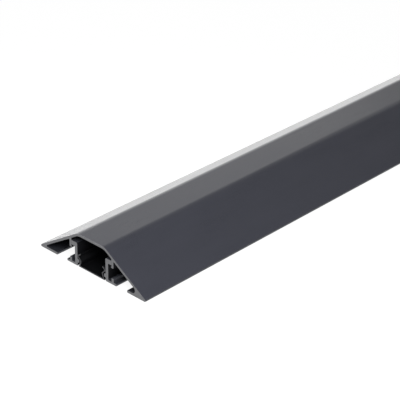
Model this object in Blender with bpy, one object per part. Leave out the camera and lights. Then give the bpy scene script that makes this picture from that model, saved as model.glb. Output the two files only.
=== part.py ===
"""Floor cord cover: a ramp-sided lid profile over two side rails and a clip-in floor plate.

Every piece is one straight extrusion. Its section lies in the XZ plane and it runs along Y.
The origin is at the middle of the length, on the floor, on the centre line. Metres, +Z up.
"""

import math

import bpy

MM = 0.001

# Whole cover
LENGTH = 1000 * MM
WIDTH = 200 * MM
HEIGHT = 50 * MM
SEAT_GAP = 0.3 * MM
ARC_STEP = math.radians(7.5)
SHORTEST_CHORD = 0.25 * MM

# Lid profile
TOP_HALF_WIDTH = 26.0 * MM
TOP_WALL = 3.5 * MM
RAMP_WALL = 3.6 * MM
ARRIS_RADIUS = 20 * MM
NOSE_HEIGHT = 3.2 * MM
NOSE_RADIUS = 1.2 * MM
NOSE_POCKET_RADIUS_LEFT = 1.4 * MM
NOSE_POCKET_RADIUS_RIGHT = 4.4 * MM
FOOT_INNER_X = 66.8 * MM
FOOT_THICKNESS = 4.0 * MM
FOOT_END_RADIUS = 1.2 * MM

# Hook legs under the lid's ramps
HOOK_OUTER_X = 41.7 * MM
HOOK_INNER_X = 38.3 * MM
HOOK_BOTTOM_Z = 24.6 * MM
HOOK_ROOT_RADIUS = 1.2 * MM
HOOK_END_RADIUS = 0.8 * MM
BARB_TIP_X = 37.0 * MM
BARB_TOP_Z = 26.4 * MM
BARB_FACE = 0.9 * MM
BARB_RADIUS = 0.3 * MM

# Side rails
RAIL_INNER_X = 27.0 * MM
RAIL_WALL = 4.7 * MM
RAIL_TOP_Z = 35.2 * MM
RAIL_FLANGE_BOTTOM_Z = 28.4 * MM
RAIL_CORNER_RADIUS = 2.2 * MM
RAIL_ROOT_RADIUS = 0.8 * MM
RAIL_FOOT_OUTER_X = 47.2 * MM
RAIL_FOOT_THICKNESS = 3.6 * MM
RAIL_FOOT_END_RADIUS = 1.2 * MM
LIP_OUTER_X = 41.7 * MM
LIP_INNER_X = 38.1 * MM
LIP_TOP_Z = 9.3 * MM
LIP_RADIUS = 1.0 * MM

# Catch ridge on each rail's inner face
CATCH_ROOT_TOP_Z = 11.4 * MM
CATCH_TOP_Z = 10.0 * MM
CATCH_BOTTOM_Z = 6.2 * MM
CATCH_ROOT_BOTTOM_Z = 4.9 * MM
CATCH_REACH = 3.3 * MM
CATCH_RADIUS = 1.4 * MM

# Floor plate
PLATE_HALF_WIDTH = 24.8 * MM
PLATE_THICKNESS = 1.8 * MM
PLATE_EDGE_RADIUS = 0.5 * MM
LEG_THICKNESS = 1.7 * MM
LEG_ROOT_X = 22.4 * MM
LEG_HEEL_Z = 3.4 * MM
LEG_HEEL_RADIUS = 2.0 * MM
LEG_WAIST_X = 20.2 * MM
LEG_WAIST_Z = 9.0 * MM
LEG_WAIST_RADIUS = 3.0 * MM
LEG_BULGE_X = 26.35 * MM
LEG_BULGE_Z = 15.8 * MM
LEG_BULGE_RADIUS = 1.6 * MM
LEG_TOP_X = 21.0 * MM
LEG_TOP_Z = 19.6 * MM

# Colours, roughness and metallic value
POWDER_COAT = ((0.135, 0.138, 0.155), 0.45, 0.0)
RAIL_METAL = ((0.12, 0.12, 0.13), 0.5, 0.0)
PLATE_PLASTIC = ((0.045, 0.045, 0.05), 0.6, 0.0)

RAMP_SLOPE = (HEIGHT - NOSE_HEIGHT) / (WIDTH / 2 - TOP_HALF_WIDTH)
RAMP_ANGLE = math.atan(RAMP_SLOPE)


def clear_scene():
    for old in list(bpy.data.objects):
        bpy.data.objects.remove(old, do_unlink=True)


def unit(dx, dz):
    size = math.hypot(dx, dz)
    return dx / size, dz / size


def fillet(before, corner, after, radius):
    """Points of the arc that rounds a corner between its two neighbours."""
    to_before = unit(before[0] - corner[0], before[1] - corner[1])
    to_after = unit(after[0] - corner[0], after[1] - corner[1])
    opening = math.acos(to_before[0] * to_after[0] + to_before[1] * to_after[1])
    setback = radius / math.tan(opening / 2)
    bisector = unit(to_before[0] + to_after[0], to_before[1] + to_after[1])
    reach = radius / math.sin(opening / 2)
    centre = (corner[0] + bisector[0] * reach, corner[1] + bisector[1] * reach)
    start = (corner[0] + to_before[0] * setback, corner[1] + to_before[1] * setback)
    end = (corner[0] + to_after[0] * setback, corner[1] + to_after[1] * setback)
    start_angle = math.atan2(start[1] - centre[1], start[0] - centre[0])
    end_angle = math.atan2(end[1] - centre[1], end[0] - centre[0])
    sweep = math.remainder(end_angle - start_angle, 2 * math.pi)
    finest = int(abs(sweep) * radius / SHORTEST_CHORD)
    steps = max(2, min(finest, math.ceil(abs(sweep) / ARC_STEP)))
    angles = [start_angle + sweep * step / steps for step in range(steps + 1)]
    return [(centre[0] + radius * math.cos(a), centre[1] + radius * math.sin(a)) for a in angles]


def rounded(corners, closed=True):
    """Turn corners (x, z, radius) into a line of points with each radius as an arc."""
    points = []
    last = len(corners) - 1
    for index, (x, z, radius) in enumerate(corners):
        at_end = not closed and index in (0, last)
        if radius == 0 or at_end:
            points.append((x, z))
            continue
        before = corners[index - 1]
        after = corners[(index + 1) % len(corners)]
        points += fillet(before[:2], (x, z), after[:2], radius)
    return points


def mirrored(corners):
    """The same corners on the other side of the centre line, in the opposite order."""
    return [(-x, z, radius) for x, z, radius in reversed(corners)]


def extrude_section(name, points, material, collection):
    """Make a piece whose section is a closed outline in XZ and which runs along Y."""
    curve = bpy.data.curves.new(name, 'CURVE')
    curve.dimensions = '2D'
    curve.fill_mode = 'BOTH'
    curve.extrude = LENGTH / 2
    spline = curve.splines.new('POLY')
    spline.points.add(len(points) - 1)
    for point, (x, z) in zip(spline.points, points):
        point.co = (x, z, 0, 1)
    spline.use_cyclic_u = True
    curve.materials.append(material)
    piece = bpy.data.objects.new(name, curve)
    piece.rotation_euler = (math.pi / 2, 0, 0)
    collection.objects.link(piece)
    return piece


def surface(name, finish):
    colour, roughness, metallic = finish
    material = bpy.data.materials.new(name)
    material.use_nodes = True
    shader = material.node_tree.nodes['Principled BSDF']
    shader.inputs['Base Color'].default_value = (*colour, 1)
    shader.inputs['Roughness'].default_value = roughness
    shader.inputs['Metallic'].default_value = metallic
    return material


def ramp_outside(x):
    """Height of the ramp's walked-on face at a distance from the centre line."""
    return NOSE_HEIGHT + RAMP_SLOPE * (WIDTH / 2 - x)


def ramp_inside(x):
    """Height of the ramp's underside at a distance from the centre line."""
    return ramp_outside(x) - RAMP_WALL / math.cos(RAMP_ANGLE)


def ramp_inside_x(z):
    """Distance from the centre line at which the ramp's underside has a given height."""
    return WIDTH / 2 - (z + RAMP_WALL / math.cos(RAMP_ANGLE) - NOSE_HEIGHT) / RAMP_SLOPE


def lid_half(pocket_radius):
    """Corners of one half of the lid, from the middle of its top outwards and back inside."""
    inner_top = HEIGHT - TOP_WALL
    return [
        (TOP_HALF_WIDTH, HEIGHT, ARRIS_RADIUS),
        (WIDTH / 2, NOSE_HEIGHT, NOSE_RADIUS),
        (WIDTH / 2, 0, NOSE_RADIUS),
        (FOOT_INNER_X, 0, FOOT_END_RADIUS),
        (FOOT_INNER_X, FOOT_THICKNESS, FOOT_END_RADIUS),
        (ramp_inside_x(FOOT_THICKNESS), FOOT_THICKNESS, pocket_radius),
        (HOOK_OUTER_X, ramp_inside(HOOK_OUTER_X), HOOK_ROOT_RADIUS),
        (HOOK_OUTER_X, HOOK_BOTTOM_Z, HOOK_END_RADIUS),
        (HOOK_INNER_X, HOOK_BOTTOM_Z, HOOK_END_RADIUS),
        (BARB_TIP_X, BARB_TOP_Z - BARB_FACE, BARB_RADIUS),
        (BARB_TIP_X, BARB_TOP_Z, BARB_RADIUS),
        (HOOK_INNER_X, BARB_TOP_Z, 0),
        (HOOK_INNER_X, ramp_inside(HOOK_INNER_X), HOOK_ROOT_RADIUS),
        (ramp_inside_x(inner_top), inner_top, ARRIS_RADIUS - TOP_WALL),
    ]


def make_lid(collection):
    corners = lid_half(NOSE_POCKET_RADIUS_RIGHT) + mirrored(lid_half(NOSE_POCKET_RADIUS_LEFT))
    return extrude_section('cover', rounded(corners), surface('powder_coat', POWDER_COAT), collection)


def rail_corners():
    """Corners of the rail on the +X side: foot, lip, wall, top flange and catch ridge."""
    wall_outer_x = RAIL_INNER_X + RAIL_WALL
    flange_outer_x = HOOK_INNER_X - SEAT_GAP
    return [
        (RAIL_INNER_X, 0, RAIL_ROOT_RADIUS),
        (RAIL_INNER_X, CATCH_ROOT_BOTTOM_Z, 0),
        (RAIL_INNER_X - CATCH_REACH, CATCH_BOTTOM_Z, CATCH_RADIUS),
        (RAIL_INNER_X - CATCH_REACH, CATCH_TOP_Z, CATCH_RADIUS),
        (RAIL_INNER_X, CATCH_ROOT_TOP_Z, 0),
        (RAIL_INNER_X, RAIL_TOP_Z, RAIL_CORNER_RADIUS),
        (flange_outer_x, RAIL_TOP_Z, RAIL_ROOT_RADIUS),
        (flange_outer_x, RAIL_FLANGE_BOTTOM_Z, RAIL_ROOT_RADIUS),
        (wall_outer_x, RAIL_FLANGE_BOTTOM_Z, RAIL_ROOT_RADIUS),
        (wall_outer_x, RAIL_FOOT_THICKNESS, RAIL_ROOT_RADIUS),
        (LIP_INNER_X, RAIL_FOOT_THICKNESS, RAIL_ROOT_RADIUS),
        (LIP_INNER_X, LIP_TOP_Z, LIP_RADIUS),
        (LIP_OUTER_X, LIP_TOP_Z, LIP_RADIUS),
        (LIP_OUTER_X, RAIL_FOOT_THICKNESS, RAIL_ROOT_RADIUS),
        (RAIL_FOOT_OUTER_X, RAIL_FOOT_THICKNESS, RAIL_FOOT_END_RADIUS),
        (RAIL_FOOT_OUTER_X, 0, RAIL_FOOT_END_RADIUS),
    ]


def make_rails(collection):
    metal = surface('rail_metal', RAIL_METAL)
    extrude_section('side_rail_left', rounded(mirrored(rail_corners())), metal, collection)
    extrude_section('side_rail_right', rounded(rail_corners()), metal, collection)


def leg_line():
    """Centre line of the springy leg on the +X side, from the plate up to its free end."""
    corners = [
        (LEG_ROOT_X, PLATE_THICKNESS, 0),
        (LEG_ROOT_X, LEG_HEEL_Z, LEG_HEEL_RADIUS),
        (LEG_WAIST_X, LEG_WAIST_Z, LEG_WAIST_RADIUS),
        (LEG_BULGE_X, LEG_BULGE_Z, LEG_BULGE_RADIUS),
        (LEG_TOP_X, LEG_TOP_Z, 0),
    ]
    return rounded(corners, closed=False)


def offset(line, distance):
    """A line of points moved sideways, to its left where the distance is positive."""
    moved = []
    last = len(line) - 1
    for index, (x, z) in enumerate(line):
        before = line[max(index - 1, 0)]
        after = line[min(index + 1, last)]
        along = unit(after[0] - before[0], after[1] - before[1])
        moved.append((x - along[1] * distance, z + along[0] * distance))
    return moved


def plate_half():
    """Outline of the plate's +X half, from its bottom edge round the leg to its top face."""
    line = leg_line()
    edge = [
        (0, 0, 0),
        (PLATE_HALF_WIDTH, 0, PLATE_EDGE_RADIUS),
        (PLATE_HALF_WIDTH, PLATE_THICKNESS, PLATE_EDGE_RADIUS),
        (LEG_ROOT_X, PLATE_THICKNESS, 0),
    ]
    outer_side = offset(line, -LEG_THICKNESS / 2)
    inner_side = offset(line, LEG_THICKNESS / 2)
    return rounded(edge, closed=False)[1:-1] + outer_side + inner_side[::-1]


def make_floor_plate(collection):
    half = plate_half()
    other_half = [(-x, z) for x, z in reversed(half)]
    plastic = surface('plate_plastic', PLATE_PLASTIC)
    return extrude_section('floor_plate', half + other_half, plastic, collection)


def build():
    clear_scene()
    collection = bpy.data.collections.new('floor_cord_cover')
    bpy.context.scene.collection.children.link(collection)
    make_lid(collection)
    make_rails(collection)
    make_floor_plate(collection)


build()
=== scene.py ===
"""Floor cord cover: the dressed visual model, its studio floor, lights and camera.

Every piece is one straight extrusion. Its section lies in the XZ plane and it runs along Y.
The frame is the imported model's: metres, +Z up, origin on the floor at the middle of the length.
"""

import math

import bmesh
import bpy
from mathutils import Matrix, Vector


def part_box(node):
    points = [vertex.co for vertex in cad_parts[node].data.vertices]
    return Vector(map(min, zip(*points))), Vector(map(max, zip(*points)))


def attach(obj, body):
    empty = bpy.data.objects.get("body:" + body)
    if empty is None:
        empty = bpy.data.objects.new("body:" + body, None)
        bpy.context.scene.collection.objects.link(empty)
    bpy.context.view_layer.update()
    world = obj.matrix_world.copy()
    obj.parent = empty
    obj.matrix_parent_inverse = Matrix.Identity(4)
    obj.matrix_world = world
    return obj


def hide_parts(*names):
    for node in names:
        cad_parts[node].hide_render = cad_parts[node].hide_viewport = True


MM = 0.001

# Whole cover
HEIGHT = 50 * MM
WIDTH = 200 * MM
SEAT_GAP = 0.3 * MM
ARC_STEP = math.radians(4)
SHORTEST_CHORD = 0.08 * MM
CREASE_ANGLE = math.radians(20)
END_CHAMFER = 0.25 * MM
RIM_CHAMFER = 0.4 * MM
SKIN_DEPTH = 1.3 * MM
# Top of the nose pockets, below which the feet's darker copy of the coat paints half shade
NOSE_POCKET_TOP_Z = 9 * MM
LEAST_MITRE = 0.5

# Lid profile
TOP_HALF_WIDTH = 26.0 * MM
TOP_WALL = 3.5 * MM
RAMP_WALL = 3.6 * MM
ARRIS_RADIUS = 20 * MM
NOSE_HEIGHT = 3.2 * MM
NOSE_RADIUS = 1.2 * MM
NOSE_POCKET_RADIUS_LEFT = 1.4 * MM
NOSE_POCKET_RADIUS_RIGHT = 4.4 * MM
FOOT_INNER_X = 66.8 * MM
FOOT_THICKNESS = 4.0 * MM
FOOT_END_RADIUS = 1.2 * MM
HOOK_OUTER_X = 41.7 * MM
HOOK_INNER_X = 38.3 * MM
HOOK_BOTTOM_Z = 24.6 * MM
HOOK_ROOT_RADIUS = 1.2 * MM
HOOK_END_RADIUS = 0.8 * MM
BARB_TIP_X = 37.0 * MM
BARB_TOP_Z = 26.4 * MM
BARB_FACE = 0.9 * MM
BARB_RADIUS = 0.3 * MM

# Side rails
RAIL_INNER_X = 27.0 * MM
RAIL_WALL = 4.7 * MM
RAIL_TOP_Z = 35.2 * MM
RAIL_FLANGE_BOTTOM_Z = 28.4 * MM
RAIL_CORNER_RADIUS = 2.2 * MM
RAIL_ROOT_RADIUS = 0.8 * MM
RAIL_FOOT_OUTER_X = 47.2 * MM
RAIL_FOOT_THICKNESS = 3.6 * MM
RAIL_FOOT_END_RADIUS = 1.2 * MM
LIP_OUTER_X = 41.7 * MM
LIP_INNER_X = 38.1 * MM
LIP_TOP_Z = 9.3 * MM
LIP_RADIUS = 1.0 * MM
CATCH_ROOT_TOP_Z = 11.4 * MM
CATCH_TOP_Z = 10.0 * MM
CATCH_BOTTOM_Z = 6.2 * MM
CATCH_ROOT_BOTTOM_Z = 4.9 * MM
CATCH_REACH = 3.3 * MM
CATCH_RADIUS = 1.4 * MM

# Floor plate
PLATE_HALF_WIDTH = 24.8 * MM
PLATE_THICKNESS = 1.8 * MM
PLATE_EDGE_RADIUS = 0.5 * MM
LEG_THICKNESS = 1.7 * MM
LEG_ROOT_X = 22.4 * MM
LEG_HEEL_Z = 3.4 * MM
LEG_HEEL_RADIUS = 2.0 * MM
LEG_WAIST_X = 20.2 * MM
LEG_WAIST_Z = 9.0 * MM
LEG_WAIST_RADIUS = 3.0 * MM
LEG_BULGE_X = 26.35 * MM
LEG_BULGE_Z = 15.8 * MM
LEG_BULGE_RADIUS = 1.6 * MM
LEG_TOP_X = 21.0 * MM
LEG_TOP_Z = 19.6 * MM

RAMP_SLOPE = (HEIGHT - NOSE_HEIGHT) / (WIDTH / 2 - TOP_HALF_WIDTH)
RAMP_ANGLE = math.atan(RAMP_SLOPE)

# Camera: the view of the photograph, in a square frame
CAMERA_AT = (1.1670, -1.5542, 0.9659)
CAMERA_TILT = math.radians(61.396)
CAMERA_HEADING = math.radians(42.758)
CAMERA_ROLL = math.radians(1.064)
CAMERA_LENS = 126.13
CAMERA_SENSOR = 36
CAMERA_SHIFT = (-0.00125, 0.00125)

# Surface patterns: waves in a metre, and depth of their relief
CLOUD_WAVES = 28
DIE_LINE_WAVES = 520
PEEL_WAVES = 420
GRAIN_WAVES = 2100
TOOTH_WAVES = 1900
MOTTLE_WAVES = 160
DRAW_LINE_WAVES = 900
DUST_WAVES = 75
DIE_LINE_DEPTH = 0.004 * MM
PEEL_DEPTH = 0.016 * MM
GRAIN_DEPTH = 0.007 * MM
TOOTH_DEPTH = 0.03 * MM
DRAW_LINE_DEPTH = 0.01 * MM
DUST_DEPTH = 0.02 * MM

# Values between which most of a surface pattern lies
PATTERN_LOW = 0.3
PATTERN_HIGH = 0.7

# Factors by which Y is multiplied to draw the patterns out along the length
CLOUD_DRAW = 0.35
DIE_LINE_DRAW = 0.004
DRAW_LINE_DRAW = 0.003
FLAT_DRAW = 0.0

# Middle of the saw blade when it cut the ends
BLADE_CENTRE = (30 * MM, 0.0, -210 * MM)

# Order of the materials on a piece
SAWN_END = 0
DEBURRED_EDGE = 1
FIRST_COAT = 2

# Sockets of the Mix node when it blends colours
MIX_FACTOR = 0
MIX_FIRST = 6
MIX_SECOND = 7
MIX_RESULT = 2

# Studio floor
FLOOR_SIZE = 16.0
FLOOR_GLOW = 0.90
FLOOR_ALBEDO = 0.20
FLOOR_ROUGHNESS = 0.9

# Studio surround: it dims between two heights, where 0 is the horizon and 1 is overhead
HORIZON_STRENGTH = 1.0
ZENITH_STRENGTH = 0.25
FADE_LOW = 0.08
FADE_HIGH = 0.37

# Softboxes: metres, and watts
SOFTBOXES = {
    'back_left': dict(at=(-3.75, 2.85, 2.85), towards=(0, -0.3, 0), width=3.4, depth=2.4, power=25.1),
    'low_left': dict(at=(-3.0, 1.2, 0.30), towards=(0, -0.3, 0.1), width=3.5, depth=0.6, power=9.5),
    'back': dict(at=(-1.1, 3.3, 2.3), towards=(0, 0.3, 0), width=1.2, depth=1.0, power=3.5),
    'front_right': dict(at=(0.65, -0.95, 0.85), towards=(0, -0.5, 0), width=0.5, depth=0.5, power=9.7),
    'front_left': dict(at=(-1.5, -2.6, 0.60), towards=(0, -0.5, 0), width=1.0, depth=0.6, power=6),
}


def unit(dx, dz):
    """The direction with a length of one."""
    size = math.hypot(dx, dz)
    return dx / size, dz / size


def fillet(before, corner, after, radius):
    """Points of the arc that rounds a corner between its two neighbours."""
    to_before = unit(before[0] - corner[0], before[1] - corner[1])
    to_after = unit(after[0] - corner[0], after[1] - corner[1])
    opening = math.acos(to_before[0] * to_after[0] + to_before[1] * to_after[1])
    setback = radius / math.tan(opening / 2)
    bisector = unit(to_before[0] + to_after[0], to_before[1] + to_after[1])
    reach = radius / math.sin(opening / 2)
    centre = (corner[0] + bisector[0] * reach, corner[1] + bisector[1] * reach)
    start = (corner[0] + to_before[0] * setback, corner[1] + to_before[1] * setback)
    end = (corner[0] + to_after[0] * setback, corner[1] + to_after[1] * setback)
    start_angle = math.atan2(start[1] - centre[1], start[0] - centre[0])
    end_angle = math.atan2(end[1] - centre[1], end[0] - centre[0])
    sweep = math.remainder(end_angle - start_angle, 2 * math.pi)
    finest = int(abs(sweep) * radius / SHORTEST_CHORD)
    steps = max(2, min(finest, math.ceil(abs(sweep) / ARC_STEP)))
    angles = [start_angle + sweep * step / steps for step in range(steps + 1)]
    return [(centre[0] + radius * math.cos(a), centre[1] + radius * math.sin(a)) for a in angles]


def rounded(corners, closed=True):
    """Turn corners (x, z, radius) into a line of points with each radius as an arc."""
    points = []
    last = len(corners) - 1
    for index, (x, z, radius) in enumerate(corners):
        at_end = not closed and index in (0, last)
        if radius == 0 or at_end:
            points.append((x, z))
            continue
        before = corners[index - 1]
        after = corners[(index + 1) % len(corners)]
        points += fillet(before[:2], (x, z), after[:2], radius)
    return points


def mirrored(corners):
    """The same corners on the other side of the centre line, in the opposite order."""
    return [(-x, z, radius) for x, z, radius in reversed(corners)]


def ramp_outside(x):
    """Height of the ramp's walked-on face at a distance from the centre line."""
    return NOSE_HEIGHT + RAMP_SLOPE * (WIDTH / 2 - x)


def ramp_inside(x):
    """Height of the ramp's underside at a distance from the centre line."""
    return ramp_outside(x) - RAMP_WALL / math.cos(RAMP_ANGLE)


def ramp_inside_x(z):
    """Distance from the centre line at which the ramp's underside has a given height."""
    return WIDTH / 2 - (z + RAMP_WALL / math.cos(RAMP_ANGLE) - NOSE_HEIGHT) / RAMP_SLOPE


def lid_half(pocket_radius):
    """Corners of one half of the lid, from the middle of its top outwards and back inside."""
    inner_top = HEIGHT - TOP_WALL
    return [
        (TOP_HALF_WIDTH, HEIGHT, ARRIS_RADIUS),
        (WIDTH / 2, NOSE_HEIGHT, NOSE_RADIUS),
        (WIDTH / 2, 0, NOSE_RADIUS),
        (FOOT_INNER_X, 0, FOOT_END_RADIUS),
        (FOOT_INNER_X, FOOT_THICKNESS, FOOT_END_RADIUS),
        (ramp_inside_x(FOOT_THICKNESS), FOOT_THICKNESS, pocket_radius),
        (HOOK_OUTER_X, ramp_inside(HOOK_OUTER_X), HOOK_ROOT_RADIUS),
        (HOOK_OUTER_X, HOOK_BOTTOM_Z, HOOK_END_RADIUS),
        (HOOK_INNER_X, HOOK_BOTTOM_Z, HOOK_END_RADIUS),
        (BARB_TIP_X, BARB_TOP_Z - BARB_FACE, BARB_RADIUS),
        (BARB_TIP_X, BARB_TOP_Z, BARB_RADIUS),
        (HOOK_INNER_X, BARB_TOP_Z, 0),
        (HOOK_INNER_X, ramp_inside(HOOK_INNER_X), HOOK_ROOT_RADIUS),
        (ramp_inside_x(inner_top), inner_top, ARRIS_RADIUS - TOP_WALL),
    ]


def rail_corners():
    """Corners of the rail on the +X side: foot, lip, wall, top flange and catch ridge."""
    wall_outer_x = RAIL_INNER_X + RAIL_WALL
    flange_outer_x = HOOK_INNER_X - SEAT_GAP
    return [
        (RAIL_INNER_X, 0, RAIL_ROOT_RADIUS),
        (RAIL_INNER_X, CATCH_ROOT_BOTTOM_Z, 0),
        (RAIL_INNER_X - CATCH_REACH, CATCH_BOTTOM_Z, CATCH_RADIUS),
        (RAIL_INNER_X - CATCH_REACH, CATCH_TOP_Z, CATCH_RADIUS),
        (RAIL_INNER_X, CATCH_ROOT_TOP_Z, 0),
        (RAIL_INNER_X, RAIL_TOP_Z, RAIL_CORNER_RADIUS),
        (flange_outer_x, RAIL_TOP_Z, RAIL_ROOT_RADIUS),
        (flange_outer_x, RAIL_FLANGE_BOTTOM_Z, RAIL_ROOT_RADIUS),
        (wall_outer_x, RAIL_FLANGE_BOTTOM_Z, RAIL_ROOT_RADIUS),
        (wall_outer_x, RAIL_FOOT_THICKNESS, RAIL_ROOT_RADIUS),
        (LIP_INNER_X, RAIL_FOOT_THICKNESS, RAIL_ROOT_RADIUS),
        (LIP_INNER_X, LIP_TOP_Z, LIP_RADIUS),
        (LIP_OUTER_X, LIP_TOP_Z, LIP_RADIUS),
        (LIP_OUTER_X, RAIL_FOOT_THICKNESS, RAIL_ROOT_RADIUS),
        (RAIL_FOOT_OUTER_X, RAIL_FOOT_THICKNESS, RAIL_FOOT_END_RADIUS),
        (RAIL_FOOT_OUTER_X, 0, RAIL_FOOT_END_RADIUS),
    ]


def leg_line():
    """Centre line of the springy leg on the +X side, from the plate up to its free end."""
    corners = [
        (LEG_ROOT_X, PLATE_THICKNESS, 0),
        (LEG_ROOT_X, LEG_HEEL_Z, LEG_HEEL_RADIUS),
        (LEG_WAIST_X, LEG_WAIST_Z, LEG_WAIST_RADIUS),
        (LEG_BULGE_X, LEG_BULGE_Z, LEG_BULGE_RADIUS),
        (LEG_TOP_X, LEG_TOP_Z, 0),
    ]
    return rounded(corners, closed=False)


def offset(line, distance):
    """A line of points moved sideways, to its left where the distance is positive."""
    moved = []
    last = len(line) - 1
    for index, (x, z) in enumerate(line):
        before = line[max(index - 1, 0)]
        after = line[min(index + 1, last)]
        along = unit(after[0] - before[0], after[1] - before[1])
        moved.append((x - along[1] * distance, z + along[0] * distance))
    return moved


def plate_half():
    """Outline of the plate's +X half, from its bottom edge round the leg to its top face."""
    line = leg_line()
    edge = [
        (0, 0, 0),
        (PLATE_HALF_WIDTH, 0, PLATE_EDGE_RADIUS),
        (PLATE_HALF_WIDTH, PLATE_THICKNESS, PLATE_EDGE_RADIUS),
        (LEG_ROOT_X, PLATE_THICKNESS, 0),
    ]
    outer_side = offset(line, -LEG_THICKNESS / 2)
    inner_side = offset(line, LEG_THICKNESS / 2)
    return rounded(edge, closed=False)[1:-1] + outer_side + inner_side[::-1]


def plate_outline():
    """Outline of the whole plate with both legs."""
    half = plate_half()
    return half + [(-x, z) for x, z in reversed(half)]


def signed_area(points):
    """Area inside an outline, positive where it runs anticlockwise."""
    total = 0
    for (ax, az), (bx, bz) in zip(points, points[1:] + points[:1]):
        total += ax * bz - bx * az
    return total / 2


def inset(points, distances):
    """The outline moved inwards by a distance at each point; the outline runs anticlockwise."""
    moved = []
    count = len(points)
    for index, ((x, z), distance) in enumerate(zip(points, distances)):
        before = points[index - 1]
        after = points[(index + 1) % count]
        into = unit(x - before[0], z - before[1])
        out = unit(after[0] - x, after[1] - z)
        side = unit(-into[1] - out[1], into[0] + out[0])
        mitre = max(LEAST_MITRE, -into[1] * side[0] + into[0] * side[1])
        moved.append((x + side[0] * distance / mitre, z + side[1] * distance / mitre))
    return moved


def turn(points, index):
    """How sharply the outline turns at a point."""
    x, z = points[index]
    before = points[index - 1]
    after = points[(index + 1) % len(points)]
    into = math.atan2(z - before[1], x - before[0])
    out = math.atan2(after[1] - z, after[0] - x)
    return abs(math.remainder(out - into, 2 * math.pi))


def is_walked_on(x, z):
    """Whether a point of the lid's outline is on its top, ramps or noses."""
    skin = min(HEIGHT, ramp_outside(abs(x)))
    return z > skin - SKIN_DEPTH or abs(x) > WIDTH / 2 - SKIN_DEPTH


def lid_coat(x, z):
    """Which of the lid's coats a point has: 0 walked on, 1 around the channel, 2 feet and noses; 1 and
    2 are darker copies of the same coat that paint shade, 1 deep shade and 2 half shade.
    """
    if is_walked_on(x, z):
        # The noses' upright faces take the darker feet copy: painted shade where they face the glowing
        # floor.
        return 0 if z > NOSE_HEIGHT else 2
    return 2 if abs(x) > FOOT_INNER_X - SKIN_DEPTH and z < NOSE_POCKET_TOP_Z else 1


def rail_coat(x, z):
    """Which of a rail's coats a point has: 0 on the upright faces, 1 on its foot and top; both are
    darker copies of the lid's coat that paint shade, 0 deep shade and 1 half shade.
    """
    on_foot = z < LIP_TOP_Z + SKIN_DEPTH and abs(x) > RAIL_INNER_X + RAIL_WALL
    return 1 if on_foot or z > RAIL_TOP_Z - RAIL_ROOT_RADIUS else 0


def one_coat(x, z):
    """The same coat all round the outline."""
    return 0


def lid_rim(x, z):
    """Width of the deburred edge at a point of the lid's outline."""
    return RIM_CHAMFER if is_walked_on(x, z) else END_CHAMFER


def even_rim(x, z):
    """The same width of deburred edge all round the outline."""
    return END_CHAMFER


def bridge(shell, rings, points, coat_of):
    """Faces between neighbouring rings: a deburred edge, the coated length, a deburred edge."""
    count = len(points)
    for ring, after in zip(rings, rings[1:]):
        is_length = ring is not rings[0] and after is not rings[-1]
        for index in range(count):
            other = (index + 1) % count
            face = shell.faces.new((ring[index], ring[other], after[other], after[index]))
            face.smooth = True
            middle = [(points[index][axis] + points[other][axis]) / 2 for axis in (0, 1)]
            face.material_index = FIRST_COAT + coat_of(*middle) if is_length else DEBURRED_EDGE


def mark_sharp_edges(shell, rings, points):
    """Sharp edges run round each ring, and along the length at each crease of the outline."""
    for edge in shell.edges:
        a, b = edge.verts
        edge.smooth = abs(a.co.y - b.co.y) > END_CHAMFER / 2
    creases = [index for index in range(len(points)) if turn(points, index) > CREASE_ANGLE]
    for ring, after in zip(rings, rings[1:]):
        for index in creases:
            shell.edges.get((ring[index], after[index])).smooth = False


def profile_mesh(name, points, ends, coat_of, rim_of):
    """A closed section run between two ends along Y, with both ends sawn off and deburred."""
    near, far = ends
    cut_outline = inset(points, [rim_of(x, z) for x, z in points])
    stations = [
        (near, cut_outline),
        (near + END_CHAMFER, points),
        (far - END_CHAMFER, points),
        (far, cut_outline),
    ]
    shell = bmesh.new()
    rings = [[shell.verts.new((x, y, z)) for x, z in outline] for y, outline in stations]
    bridge(shell, rings, points, coat_of)
    for ring in (rings[0], rings[-1]):
        shell.faces.new(ring).material_index = SAWN_END
    bmesh.ops.recalc_face_normals(shell, faces=shell.faces)
    mark_sharp_edges(shell, rings, points)
    mesh = bpy.data.meshes.new(name)
    shell.to_mesh(mesh)
    shell.free()
    return mesh


def make_profile(name, points, node, cut_materials, coats, coat_of=one_coat, rim_of=even_rim):
    """A piece that takes a CAD node's place over its whole length.

    The cut materials are the sawn ends' and the deburred edges'. coat_of gives the number of
    the coat at a point of the outline, and rim_of the deburred edge's width there.
    """
    if signed_area(points) < 0:
        points = points[::-1]
    low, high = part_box(node)
    mesh = profile_mesh(name, points, (low.y, high.y), coat_of, rim_of)
    for material in (*cut_materials, *coats):
        mesh.materials.append(material)
    piece = bpy.data.objects.new(name, mesh)
    bpy.context.scene.collection.objects.link(piece)
    even = piece.modifiers.new("even_shading", 'WEIGHTED_NORMAL')
    even.mode = 'FACE_AREA'
    even.weight = 100
    even.keep_sharp = True
    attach(piece, "root")
    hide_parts(node)
    return piece


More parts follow.
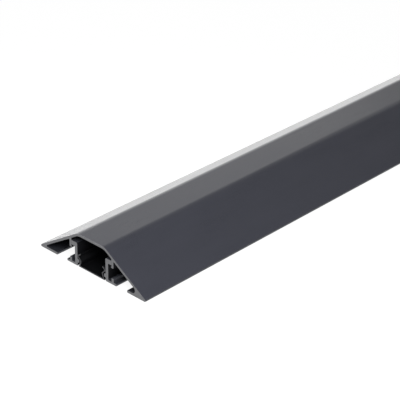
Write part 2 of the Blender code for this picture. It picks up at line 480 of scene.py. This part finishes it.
class Graph:
    """A material's node tree with short calls for the nodes used here."""

    def __init__(self, name):
        self.material = bpy.data.materials.new(name)
        self.material.use_nodes = True
        self.nodes = self.material.node_tree.nodes
        self.links = self.material.node_tree.links
        self.shader = self.nodes['Principled BSDF']
        self.place = self.nodes.new('ShaderNodeTexCoord').outputs['Object']

    def link(self, source, target):
        self.links.new(source, target)

    def drawn_out(self, factor):
        """Object coordinates with Y multiplied by a factor, which draws patterns out along it."""
        node = self.nodes.new('ShaderNodeVectorMath')
        node.operation = 'MULTIPLY'
        node.inputs[1].default_value = (1.0, factor, 1.0)
        self.link(self.place, node.inputs[0])
        return node.outputs[0]

    def noise(self, vector, scale, detail, roughness=0.5):
        """A noise pattern whose values lie around one half."""
        node = self.nodes.new('ShaderNodeTexNoise')
        node.inputs['Scale'].default_value = scale
        node.inputs['Detail'].default_value = detail
        node.inputs['Roughness'].default_value = roughness
        self.link(vector, node.inputs['Vector'])
        return node.outputs[0]

    def span(self, pattern, low, high):
        """A pattern turned into a value between two limits."""
        node = self.nodes.new('ShaderNodeMapRange')
        node.inputs['From Min'].default_value = PATTERN_LOW
        node.inputs['From Max'].default_value = PATTERN_HIGH
        node.inputs['To Min'].default_value = low
        node.inputs['To Max'].default_value = high
        self.link(pattern, node.inputs['Value'])
        return node.outputs[0]

    def blend(self, factor, first, second):
        """A colour between two colours."""
        node = self.nodes.new('ShaderNodeMix')
        node.data_type = 'RGBA'
        self.link(factor, node.inputs[MIX_FACTOR])
        node.inputs[MIX_FIRST].default_value = (*first, 1)
        node.inputs[MIX_SECOND].default_value = (*second, 1)
        return node.outputs[MIX_RESULT]

    def add(self, first, second):
        """The sum of two values."""
        node = self.nodes.new('ShaderNodeMath')
        node.operation = 'ADD'
        self.link(first, node.inputs[0])
        self.link(second, node.inputs[1])
        return node.outputs[0]

    def overlay(self, first, second, share):
        """Two patterns added up to a value from 0 to 1, of which the first has a share."""
        return self.add(self.span(first, 0, share), self.span(second, 0, 1 - share))

    def bump(self, layers):
        """Stack height layers (height, depth in metres) into the shader's normal."""
        normal = None
        for height, depth in layers:
            node = self.nodes.new('ShaderNodeBump')
            node.inputs['Strength'].default_value = 1.0
            node.inputs['Distance'].default_value = depth
            self.link(height, node.inputs['Height'])
            if normal is not None:
                self.link(normal, node.inputs['Normal'])
            normal = node.outputs['Normal']
        self.link(normal, self.shader.inputs['Normal'])

    def finish(self, **sockets):
        """Set or link the shader's sockets by name, and hand back the material."""
        for name, value in sockets.items():
            socket = self.shader.inputs[name.replace('_', ' ')]
            if hasattr(value, 'links'):
                self.link(value, socket)
            else:
                socket.default_value = value
        return self.material


def powder_coat(name, light, dark, roughness, shine=0.5, sheen=0.6):
    """Fine-textured powder coat: orange peel, grain, faint die lines and slow cloudiness."""
    graph = Graph(name)
    clouds = graph.noise(graph.drawn_out(CLOUD_DRAW), CLOUD_WAVES, detail=3)
    die_lines = graph.noise(graph.drawn_out(DIE_LINE_DRAW), DIE_LINE_WAVES, detail=3, roughness=0.6)
    peel = graph.noise(graph.place, PEEL_WAVES, detail=1)
    grain = graph.noise(graph.place, GRAIN_WAVES, detail=2, roughness=0.6)
    colour = graph.blend(graph.overlay(clouds, die_lines, share=0.6), dark, light)
    fine_gloss = graph.span(grain, -0.03, 0.05)
    broad_gloss = graph.span(clouds, roughness - 0.02, roughness + 0.03)
    gloss = graph.add(fine_gloss, broad_gloss)
    graph.bump([(die_lines, DIE_LINE_DEPTH), (peel, PEEL_DEPTH), (grain, GRAIN_DEPTH)])
    return graph.finish(
        Base_Color=colour,
        Roughness=gloss,
        Specular_IOR_Level=shine,
        Sheen_Weight=sheen,
        Sheen_Roughness=0.25,
    )


def sawn_metal(name, light, dark, roughness):
    """Bare sawn aluminium: fine arcs left by the blade's teeth, and a dull mottle."""
    graph = Graph(name)
    from_centre = graph.nodes.new('ShaderNodeVectorMath')
    from_centre.operation = 'SUBTRACT'
    from_centre.inputs[1].default_value = BLADE_CENTRE
    graph.link(graph.drawn_out(FLAT_DRAW), from_centre.inputs[0])
    reach = graph.nodes.new('ShaderNodeVectorMath')
    reach.operation = 'LENGTH'
    graph.link(from_centre.outputs[0], reach.inputs[0])
    along_reach = graph.nodes.new('ShaderNodeCombineXYZ')
    graph.link(reach.outputs['Value'], along_reach.inputs[0])
    teeth = graph.noise(along_reach.outputs[0], TOOTH_WAVES, detail=3, roughness=0.65)
    mottle = graph.noise(graph.place, MOTTLE_WAVES, detail=3)
    colour = graph.blend(graph.overlay(teeth, mottle, share=0.7), dark, light)
    gloss = graph.span(teeth, roughness - 0.06, roughness + 0.08)
    graph.bump([(teeth, TOOTH_DEPTH)])
    return graph.finish(Base_Color=colour, Roughness=gloss, Metallic=1.0)


def matt_plastic(name, light, dark, roughness):
    """Extruded black plastic: draw lines along the length and a dusty unevenness."""
    graph = Graph(name)
    draw_lines = graph.noise(graph.drawn_out(DRAW_LINE_DRAW), DRAW_LINE_WAVES, detail=3, roughness=0.6)
    dust = graph.noise(graph.place, DUST_WAVES, detail=4, roughness=0.6)
    colour = graph.blend(graph.overlay(draw_lines, dust, share=0.5), dark, light)
    gloss = graph.span(dust, roughness - 0.05, roughness + 0.08)
    graph.bump([(draw_lines, DRAW_LINE_DEPTH), (dust, DUST_DEPTH)])
    return graph.finish(Base_Color=colour, Roughness=gloss, IOR=1.48, Specular_IOR_Level=0.15)


def anthracite_coat_and_painted_shades():
    """The powder coat as it looks where it is walked on, and two darker copies of it that paint shade:
    deep shade around the channel and half shade on the feet.
    """
    walked_on = powder_coat(
        'anthracite_powder_coat',
        light=(0.050, 0.052, 0.068),
        dark=(0.044, 0.046, 0.060),
        roughness=0.30,
    )
    # Painted shade: the same coat, darker and duller, for the faces inside the channel.
    painted_channel_shade = powder_coat(
        'channel_coat_painted_shade',
        light=(0.010, 0.0103, 0.0118),
        dark=(0.008, 0.0083, 0.0097),
        roughness=0.50,
        shine=0.06,
        sheen=0.0,
    )
    # Painted half shade: the same coat, darker, for the feet, the noses and the rails' feet and tops.
    painted_half_shade = powder_coat(
        'foot_coat_painted_half_shade',
        light=(0.033, 0.035, 0.043),
        dark=(0.028, 0.0295, 0.037),
        roughness=0.45,
        sheen=0.0,
    )
    return walked_on, painted_channel_shade, painted_half_shade


def black_plastics():
    """The floor plate's drawn surface and its cut end, which is paler."""
    drawn = matt_plastic('black_plastic', (0.005, 0.0052, 0.0062), (0.0034, 0.0036, 0.0044), 0.60)
    cut = matt_plastic('cut_black_plastic', (0.075, 0.075, 0.080), (0.055, 0.055, 0.060), 0.60)
    return drawn, cut


def bare_metals():
    """The sawn ends of the aluminium pieces and their deburred edges, whose paler colour paints a
    highlight on the real chamfer.
    """
    sawn = sawn_metal('sawn_aluminium', (0.196, 0.197, 0.205), (0.146, 0.147, 0.153), 0.42)
    # Painted highlight: the deburred edge is made paler than the sawn end it borders.
    deburred = sawn_metal('deburred_aluminium_painted_highlight', (0.25, 0.25, 0.26), (0.20, 0.20, 0.21), 0.40)
    return sawn, deburred


def build_cover():
    """The lid, the two rails and the floor plate, each with its coats and cut ends; the coats inside
    the lid and on the rails are darker copies that paint shade.
    """
    walked_on, painted_channel_shade, painted_half_shade = anthracite_coat_and_painted_shades()
    plastic, cut_plastic = black_plastics()
    cut_metal_and_highlight = bare_metals()
    lid = rounded(lid_half(NOSE_POCKET_RADIUS_RIGHT) + mirrored(lid_half(NOSE_POCKET_RADIUS_LEFT)))
    rails = {'left': rounded(mirrored(rail_corners())), 'right': rounded(rail_corners())}
    lid_coat_and_painted_shades = (walked_on, painted_channel_shade, painted_half_shade)
    rail_painted_shades = (painted_channel_shade, painted_half_shade)
    cut_plastics = (cut_plastic, cut_plastic)
    make_profile('lid_profile', lid, 'cover', cut_metal_and_highlight, lid_coat_and_painted_shades, lid_coat, lid_rim)
    for side, rail in rails.items():
        name = f'{side}_rail_profile'
        make_profile(name, rail, f'side_rail_{side}', cut_metal_and_highlight, rail_painted_shades, rail_coat)
    make_profile('floor_plate_profile', plate_outline(), 'floor_plate', cut_plastics, (plastic,))


def make_floor():
    """A seamless pale studio floor, partly glowing so that it reads evenly white."""
    half = FLOOR_SIZE / 2
    mesh = bpy.data.meshes.new('studio_floor')
    corners = [(-half, -half, 0), (half, -half, 0), (half, half, 0), (-half, half, 0)]
    mesh.from_pydata(corners, [], [(0, 1, 2, 3)])
    material = bpy.data.materials.new('studio_floor')
    material.use_nodes = True
    shader = material.node_tree.nodes['Principled BSDF']
    shader.inputs['Base Color'].default_value = (FLOOR_ALBEDO, FLOOR_ALBEDO, FLOOR_ALBEDO, 1)
    shader.inputs['Roughness'].default_value = FLOOR_ROUGHNESS
    shader.inputs['Specular IOR Level'].default_value = 0.0
    shader.inputs['Emission Color'].default_value = (1, 1, 1, 1)
    shader.inputs['Emission Strength'].default_value = FLOOR_GLOW
    mesh.materials.append(material)
    floor = bpy.data.objects.new('studio_floor', mesh)
    bpy.context.scene.collection.objects.link(floor)


def add_softbox(name, at, towards, width, depth, power):
    """A rectangular area light that faces a point."""
    light = bpy.data.lights.new(name, 'AREA')
    light.shape = 'RECTANGLE'
    light.size = width
    light.size_y = depth
    light.energy = power
    softbox = bpy.data.objects.new(name, light)
    softbox.location = at
    direction = Vector(towards) - Vector(at)
    softbox.rotation_euler = direction.to_track_quat('-Z', 'Y').to_euler()
    bpy.context.scene.collection.objects.link(softbox)


def surround():
    """A pale sweep at the horizon that turns dimmer overhead."""
    world = bpy.data.worlds.new('studio')
    world.use_nodes = True
    nodes = world.node_tree.nodes
    links = world.node_tree.links
    direction = nodes.new('ShaderNodeTexCoord')
    split = nodes.new('ShaderNodeSeparateXYZ')
    fade = nodes.new('ShaderNodeMapRange')
    fade.interpolation_type = 'SMOOTHSTEP'
    fade.inputs['From Min'].default_value = FADE_LOW
    fade.inputs['From Max'].default_value = FADE_HIGH
    fade.inputs['To Min'].default_value = HORIZON_STRENGTH
    fade.inputs['To Max'].default_value = ZENITH_STRENGTH
    links.new(direction.outputs['Generated'], split.inputs[0])
    links.new(split.outputs['Z'], fade.inputs['Value'])
    background = nodes['Background']
    background.inputs['Color'].default_value = (1, 1, 1, 1)
    links.new(fade.outputs[0], background.inputs['Strength'])
    bpy.context.scene.world = world


def light_studio():
    """The pale surround and the softboxes."""
    surround()
    for name, softbox in SOFTBOXES.items():
        add_softbox(name, **softbox)


def place_camera():
    """The camera that sees the cover as the photograph shows it."""
    camera = bpy.data.cameras.new('camera')
    camera.lens = CAMERA_LENS
    camera.sensor_width = CAMERA_SENSOR
    camera.shift_x, camera.shift_y = CAMERA_SHIFT
    viewpoint = bpy.data.objects.new('camera', camera)
    viewpoint.location = CAMERA_AT
    aim = Matrix.Rotation(CAMERA_HEADING, 3, 'Z') @ Matrix.Rotation(CAMERA_TILT, 3, 'X')
    viewpoint.rotation_euler = (aim @ Matrix.Rotation(CAMERA_ROLL, 3, 'Z')).to_euler()
    bpy.context.scene.collection.objects.link(viewpoint)
    bpy.context.scene.camera = viewpoint


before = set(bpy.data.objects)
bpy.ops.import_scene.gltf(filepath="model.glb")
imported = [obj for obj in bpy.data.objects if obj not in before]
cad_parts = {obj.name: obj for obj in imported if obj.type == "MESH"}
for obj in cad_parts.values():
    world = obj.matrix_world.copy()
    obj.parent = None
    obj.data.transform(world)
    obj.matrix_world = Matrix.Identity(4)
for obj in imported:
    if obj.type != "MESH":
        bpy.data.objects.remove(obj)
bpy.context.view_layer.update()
build_cover()
make_floor()
light_studio()
place_camera()
bpy.context.scene.view_settings.view_transform = 'Standard'
